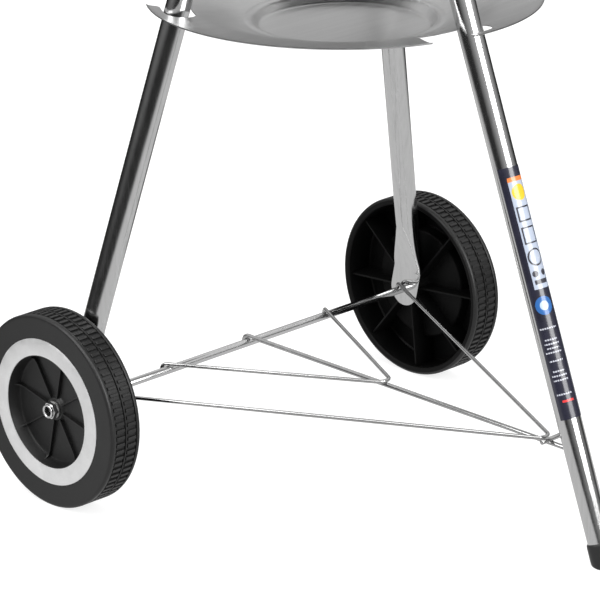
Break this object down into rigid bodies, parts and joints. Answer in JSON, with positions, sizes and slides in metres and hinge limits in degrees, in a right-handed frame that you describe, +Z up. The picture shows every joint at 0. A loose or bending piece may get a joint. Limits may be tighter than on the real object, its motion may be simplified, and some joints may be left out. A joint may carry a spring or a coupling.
{
  "type": "kettle charcoal grill",
  "caption": "Kettle charcoal grill with a domed lift-off lid, round grates, a twist-off ash tray, three tube legs, a wire rack and two wheels.",
  "frame": {"origin": "on the ground under the middle of the whole grill; the kettle's own axis stands a little behind it", "axes": "+Z up, +X along the axle to the right wheel, -Y towards the single front leg"},
  "size_m": [0.6678, 0.6651, 1.0423],
  "materials": {
    "enamel": "gloss",
    "chrome": "polished",
    "zinc": "satin",
    "tray_steel": "satin",
    "black_plastic": "matte",
    "wheel_plastic": "matte",
    "silver_trim": "satin",
    "label": "gloss",
    "grate_steel": "satin",
    "aluminium": "satin"
  },
  "bodies": {
    "stand": {"bowl": "enamel", "grate_brackets": "zinc", "front_leg_socket": "zinc", "left_leg_socket": "zinc", "right_leg_socket": "zinc", "socket_bolts": "zinc", "front_leg": "chrome", "left_leg": "chrome", "right_leg": "chrome", "front_foot": "black_plastic", "leg_label": "label", "axle": "chrome", "axle_washers": "zinc", "axle_nuts": "zinc", "rack_outer_wire": "chrome", "rack_inner_wire": "chrome", "rack_center_wire": "chrome", "rack_stop_bar": "chrome", "left_handle_bracket": "zinc", "right_handle_bracket": "zinc", "left_handle_grip": "black_plastic", "right_handle_grip": "black_plastic", "side_handle_bolts": "zinc"},
    "left_wheel": {"left_wheel": "wheel_plastic", "left_wheel_trim": "silver_trim"},
    "right_wheel": {"right_wheel": "wheel_plastic", "right_wheel_trim": "silver_trim"},
    "ash_tray": {"ash_tray": "tray_steel"},
    "vent_sweeper": {"vent_blades": "aluminium", "vent_shaft": "zinc", "vent_lever": "aluminium", "vent_lever_grip": "black_plastic"},
    "charcoal_grate": {"charcoal_grate": "grate_steel"},
    "cooking_grate": {"cooking_grate": "chrome"},
    "lid": {"lid": "enamel", "lid_handle_bracket": "zinc", "lid_heat_shield": "aluminium", "lid_handle_grip": "black_plastic", "lid_handle_bolt": "zinc", "lid_base_screws": "zinc", "damper_rivet": "zinc", "lid_hook": "zinc"},
    "lid_damper": {"lid_damper": "aluminium"}
  },
  "joints": [
    {"name": "left_wheel_spin", "type": "hinge", "parent": "stand", "child": "left_wheel", "pos_m": [-0.2635, 0.18696, 0.1015], "axis": [1, 0, 0], "continuous": true},
    {"name": "right_wheel_spin", "type": "hinge", "parent": "stand", "child": "right_wheel", "pos_m": [0.2635, 0.18696, 0.1015], "axis": [1, 0, 0], "continuous": true},
    {"name": "ash_tray_twist", "type": "hinge", "parent": "stand", "child": "ash_tray", "pos_m": [0, 0.03936, 0.505], "axis": [0, 0, 1], "range_deg": [-3, 12]},
    {"name": "vent_sweep", "type": "hinge", "parent": "stand", "child": "vent_sweeper", "pos_m": [0, 0.03936, 0.58], "axis": [0, 0, 1], "range_deg": [0, 60]},
    {"name": "charcoal_grate_lift", "type": "slide", "parent": "stand", "child": "charcoal_grate", "axis": [0, 0, 1], "range_m": [0, 0.06]},
    {"name": "cooking_grate_lift", "type": "slide", "parent": "stand", "child": "cooking_grate", "axis": [0, 0, 1], "range_m": [0, 0.015]},
    {"name": "lid_lift", "type": "slide", "parent": "stand", "child": "lid", "axis": [0, 0, 1], "range_m": [0, 0.25]},
    {"name": "lid_damper_turn", "type": "hinge", "parent": "lid", "child": "lid_damper", "pos_m": [0, -0.10646, 0.93329], "axis": [0, -0.454, 0.891], "range_deg": [0, 45]}
  ]
}
